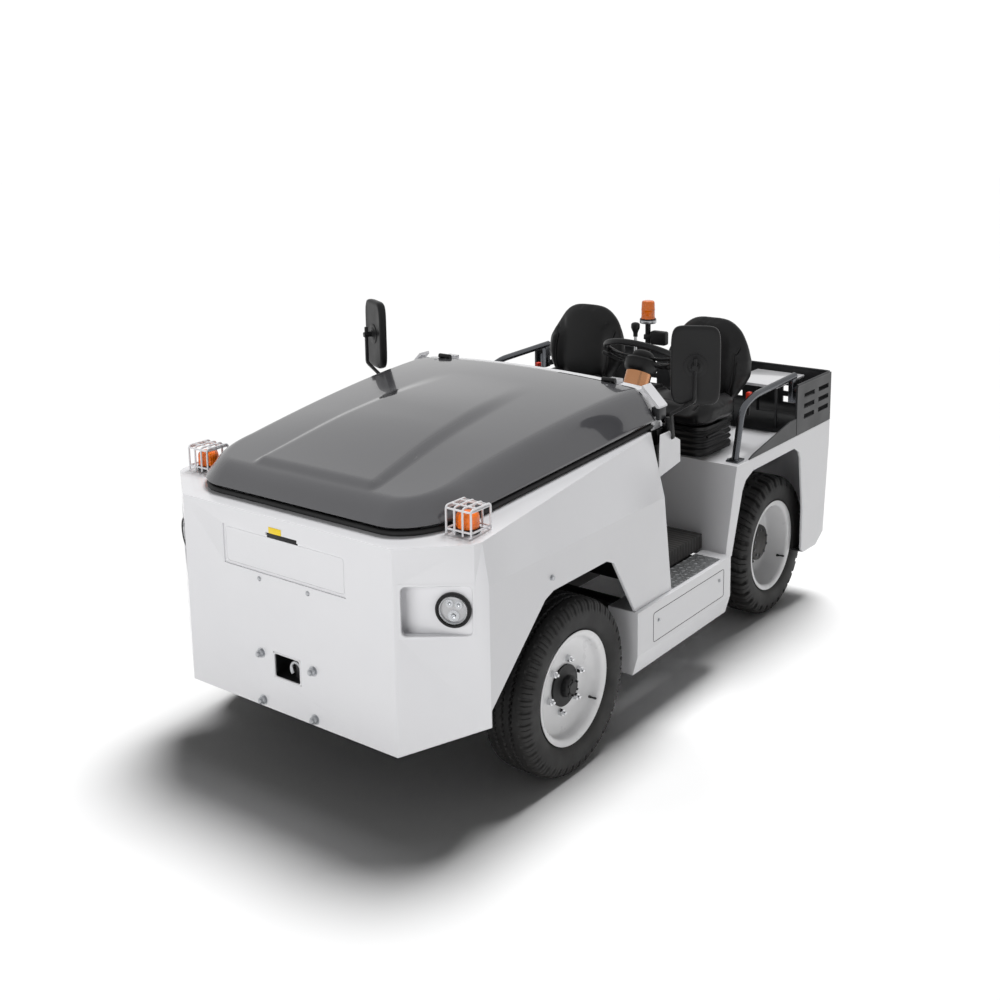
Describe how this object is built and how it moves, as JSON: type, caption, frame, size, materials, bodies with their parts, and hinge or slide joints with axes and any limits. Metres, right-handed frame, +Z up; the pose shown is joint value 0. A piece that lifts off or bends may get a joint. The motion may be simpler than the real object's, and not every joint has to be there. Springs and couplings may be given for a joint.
{
  "type": "airport baggage tug",
  "caption": "Low electric baggage tug with a long sloping hood, two seats, rear tray, steered front wheels and tow pins at both ends.",
  "frame": {"origin": "on the ground below the middle of the bounding box", "axes": "front faces -Y, left side is +X, +Z up"},
  "size_m": [1.8346, 3.08, 1.555],
  "materials": {
    "painted_white": "gloss",
    "hood_grey": "high gloss",
    "charcoal": "satin",
    "black_plastic": "satin",
    "rubber": "matt",
    "steel": "brushed",
    "copper": "satin",
    "leatherette": "satin",
    "amber": "clear",
    "underbody": "matt",
    "battery_case": "matt"
  },
  "bodies": {
    "tug": {"front_body": "painted_white", "rear_body": "painted_white", "cowl": "painted_white", "hood_seal": "rubber", "chassis": "underbody", "battery": "battery_case", "front_axle": "underbody", "rear_axle": "underbody", "firewall": "black_plastic", "dashboard": "black_plastic", "floor": "rubber", "steering_column": "copper", "rear_tray": "charcoal", "rear_coupler": "steel", "front_hitch": "steel", "beacon_post": "black_plastic", "beacon_lens": "amber", "parking_lever": "black_plastic", "step_left": "painted_white", "handrail_left": "steel", "mirror_arm_left": "black_plastic", "mirror_left": "black_plastic", "corner_lamp_left": "amber", "headlamp_left": "black_plastic", "seat_base_left": "black_plastic", "seat_cushion_left": "leatherette", "seat_back_left": "leatherette", "step_right": "painted_white", "handrail_right": "steel", "mirror_arm_right": "black_plastic", "mirror_right": "black_plastic", "corner_lamp_right": "amber", "headlamp_right": "black_plastic", "seat_base_right": "black_plastic", "seat_cushion_right": "leatherette", "seat_back_right": "leatherette"},
    "hood": {"hood": "hood_grey"},
    "steering_wheel": {"steering_wheel": "black_plastic"},
    "knuckle_left": {"knuckle_left": "underbody"},
    "knuckle_right": {"knuckle_right": "underbody"},
    "wheel_front_left": {"tyre_front_left": "rubber", "rim_front_left": "painted_white", "hub_front_left": "black_plastic"},
    "wheel_front_right": {"tyre_front_right": "rubber", "rim_front_right": "painted_white", "hub_front_right": "black_plastic"},
    "wheel_rear_left": {"tyre_rear_left": "rubber", "rim_rear_left": "painted_white", "hub_rear_left": "black_plastic"},
    "wheel_rear_right": {"tyre_rear_right": "rubber", "rim_rear_right": "painted_white", "hub_rear_right": "black_plastic"}
  },
  "joints": [
    {"name": "hood_lift", "type": "hinge", "parent": "tug", "child": "hood", "pos_m": [0, -0.098, 1.28303], "axis": [-1, 0, 0], "range_deg": [0, 55]},
    {"name": "steer_left", "type": "hinge", "parent": "tug", "child": "knuckle_left", "pos_m": [0.585, -0.85, 0.328], "axis": [0, 0, 1], "range_deg": [-32, 32]},
    {"name": "steer_right", "type": "hinge", "parent": "tug", "child": "knuckle_right", "pos_m": [-0.585, -0.85, 0.328], "axis": [0, 0, 1], "range_deg": [-32, 32]},
    {"name": "steering_wheel_turn", "type": "hinge", "parent": "tug", "child": "steering_wheel", "pos_m": [0.385, 0.228, 1.33], "axis": [0, 0.4695, 0.8829], "range_deg": [-540, 540]},
    {"name": "roll_front_left", "type": "hinge", "parent": "knuckle_left", "child": "wheel_front_left", "pos_m": [0.668, -0.85, 0.328], "axis": [1, 0, 0], "continuous": true},
    {"name": "roll_front_right", "type": "hinge", "parent": "knuckle_right", "child": "wheel_front_right", "pos_m": [-0.668, -0.85, 0.328], "axis": [1, 0, 0], "continuous": true},
    {"name": "roll_rear_left", "type": "hinge", "parent": "tug", "child": "wheel_rear_left", "pos_m": [0.592, 0.915, 0.328], "axis": [1, 0, 0], "continuous": true},
    {"name": "roll_rear_right", "type": "hinge", "parent": "tug", "child": "wheel_rear_right", "pos_m": [-0.592, 0.915, 0.328], "axis": [1, 0, 0], "continuous": true}
  ],
  "couplings": [
    {"joint": "steer_right", "follows": "steer_left", "ratio": 1},
    {"joint": "steering_wheel_turn", "follows": "steer_left", "ratio": 16.875}
  ]
}
